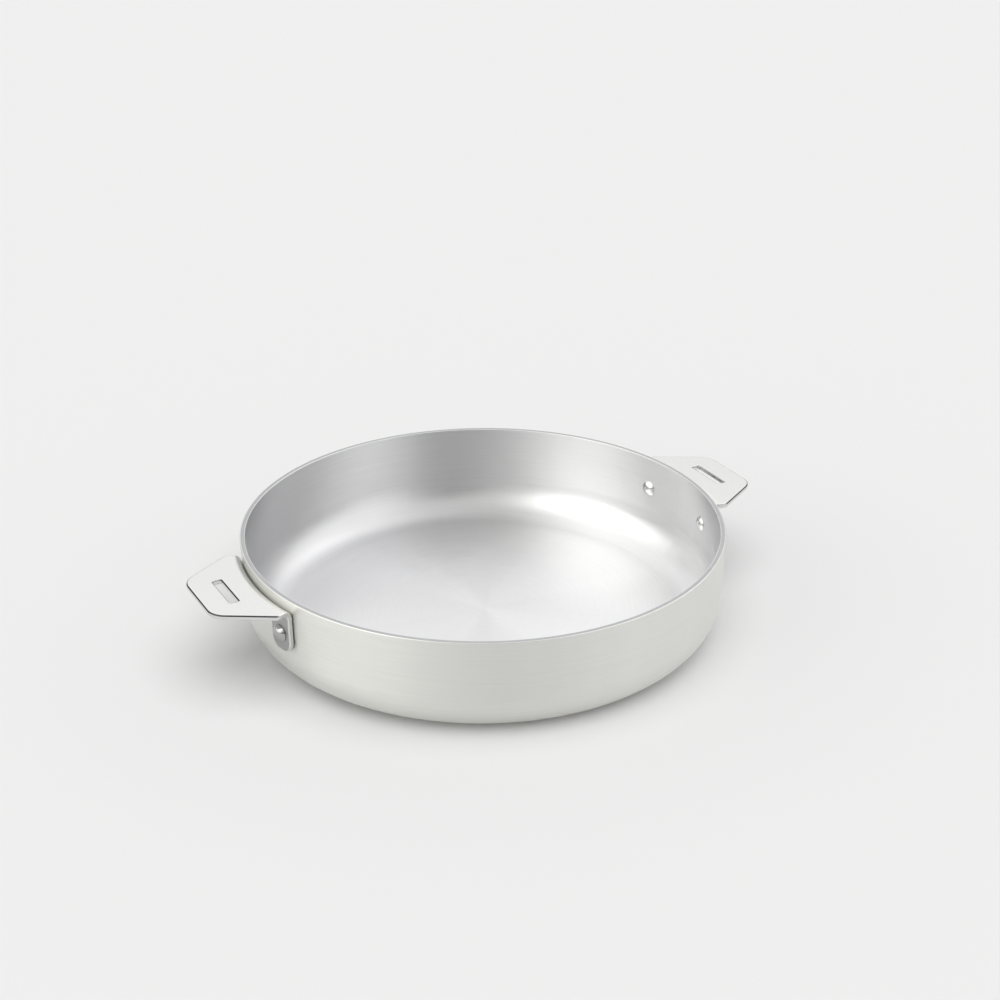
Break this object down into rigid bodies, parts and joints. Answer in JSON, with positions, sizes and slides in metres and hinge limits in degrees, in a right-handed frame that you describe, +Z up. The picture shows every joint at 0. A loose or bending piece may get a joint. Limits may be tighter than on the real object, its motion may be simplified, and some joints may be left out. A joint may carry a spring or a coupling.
{
  "type": "braiser",
  "caption": "Straight-walled round braiser in satin stainless steel, with a bonded aluminium core and slotted side handles held by dome-headed rivets.",
  "frame": {"origin": "centre of the flat underside, on the surface that the pan stands on", "axes": "+Z up along the pan's axis, +X out through the middle of the right handle, +Y towards the back"},
  "size_m": [0.349, 0.28, 0.059],
  "materials": {
    "shell_steel": "satin, brushed round the wall",
    "core_aluminium": "ground, seen only in the edge of the rim",
    "lining_steel": "satin, brushed in circles",
    "handle_steel": "satin, brushed along the plate, with rounded edges",
    "rivet_steel": "polished"
  },
  "bodies": {
    "root": {"outer_shell": "shell_steel", "aluminium_core": "core_aluminium", "inner_lining": "lining_steel", "left_handle": "handle_steel", "right_handle": "handle_steel", "left_front_rivet": "rivet_steel", "left_rear_rivet": "rivet_steel", "right_front_rivet": "rivet_steel", "right_rear_rivet": "rivet_steel"}
  },
  "joints": []
}
